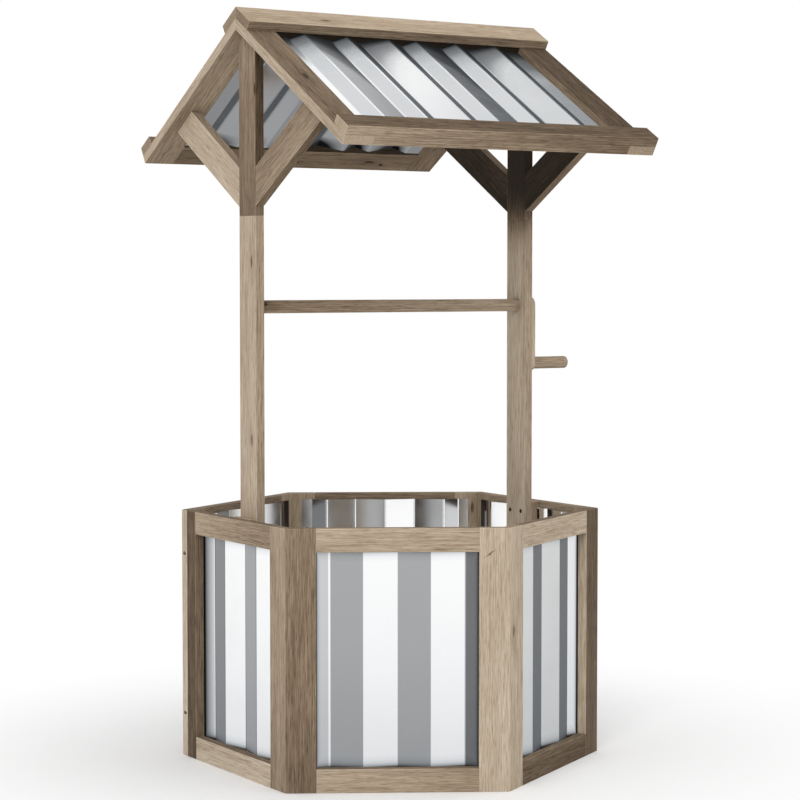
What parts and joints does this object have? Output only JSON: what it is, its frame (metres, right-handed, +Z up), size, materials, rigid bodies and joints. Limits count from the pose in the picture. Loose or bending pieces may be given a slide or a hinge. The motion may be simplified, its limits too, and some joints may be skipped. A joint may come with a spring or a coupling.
{
  "type": "raised garden bed",
  "caption": "Six-sided timber raised bed with folded steel panels, built as a wishing well with posts, braces, a gabled roof and a hand-cranked windlass.",
  "frame": {"origin": "on the ground, at the middle of the whole object's length and width, which is 33.7 mm beyond the bed's own middle towards the crank", "axes": "+Z is up, +X runs along the ridge and the windlass towards the crank, and the front is towards -Y, where two sides of the bed meet in a corner"},
  "size_m": [0.7602, 0.8, 1.409],
  "materials": {
    "light_wood": "planed and stained grey-brown, light boards",
    "mid_wood": "planed and stained grey-brown, middling boards",
    "dark_wood": "planed and stained grey-brown, dark boards",
    "sheet_steel": "smooth galvanised sheet",
    "screw_steel": "dark zinc"
  },
  "bodies": {
    "well": {"left_panel_left_stile": "mid_wood", "left_panel_right_stile": "mid_wood", "left_panel_top_rail": "light_wood", "left_panel_bottom_rail": "light_wood", "left_panel_sheet": "sheet_steel", "front_left_panel_left_stile": "mid_wood", "front_left_panel_right_stile": "mid_wood", "front_left_panel_top_rail": "light_wood", "front_left_panel_bottom_rail": "light_wood", "front_left_panel_sheet": "sheet_steel", "front_right_panel_left_stile": "mid_wood", "front_right_panel_right_stile": "mid_wood", "front_right_panel_top_rail": "light_wood", "front_right_panel_bottom_rail": "light_wood", "front_right_panel_sheet": "sheet_steel", "right_panel_left_stile": "mid_wood", "right_panel_right_stile": "mid_wood", "right_panel_top_rail": "light_wood", "right_panel_bottom_rail": "light_wood", "right_panel_sheet": "sheet_steel", "back_right_panel_left_stile": "mid_wood", "back_right_panel_right_stile": "mid_wood", "back_right_panel_top_rail": "light_wood", "back_right_panel_bottom_rail": "light_wood", "back_right_panel_sheet": "sheet_steel", "back_left_panel_left_stile": "mid_wood", "back_left_panel_right_stile": "mid_wood", "back_left_panel_top_rail": "light_wood", "back_left_panel_bottom_rail": "light_wood", "back_left_panel_sheet": "sheet_steel", "left_lower_post": "light_wood", "left_upper_post": "dark_wood", "left_front_brace": "mid_wood", "left_rear_brace": "mid_wood", "right_lower_post": "light_wood", "right_upper_post": "dark_wood", "right_front_brace": "mid_wood", "right_rear_brace": "mid_wood", "front_roof_left_stile": "mid_wood", "front_roof_right_stile": "mid_wood", "front_roof_eave_rail": "mid_wood", "front_roof_ridge_rail": "dark_wood", "front_roof_sheet": "sheet_steel", "front_roof_eave_trim": "mid_wood", "front_roof_ridge_cap": "mid_wood", "rear_roof_left_stile": "mid_wood", "rear_roof_right_stile": "mid_wood", "rear_roof_eave_rail": "mid_wood", "rear_roof_ridge_rail": "dark_wood", "rear_roof_sheet": "sheet_steel", "rear_roof_eave_trim": "mid_wood", "rear_roof_ridge_cap": "mid_wood", "post_packers": "mid_wood", "corner_tongues": "light_wood", "dowels": "light_wood", "wood_screws": "screw_steel", "sheet_screws": "screw_steel"},
    "windlass": {"windlass_bar": "mid_wood", "crank_arm": "mid_wood", "crank_handle": "mid_wood"}
  },
  "joints": [
    {"name": "windlass_turn", "type": "hinge", "parent": "well", "child": "windlass", "pos_m": [-0.0337, 0, 0.862], "axis": [1, 0, 0], "continuous": true}
  ]
}
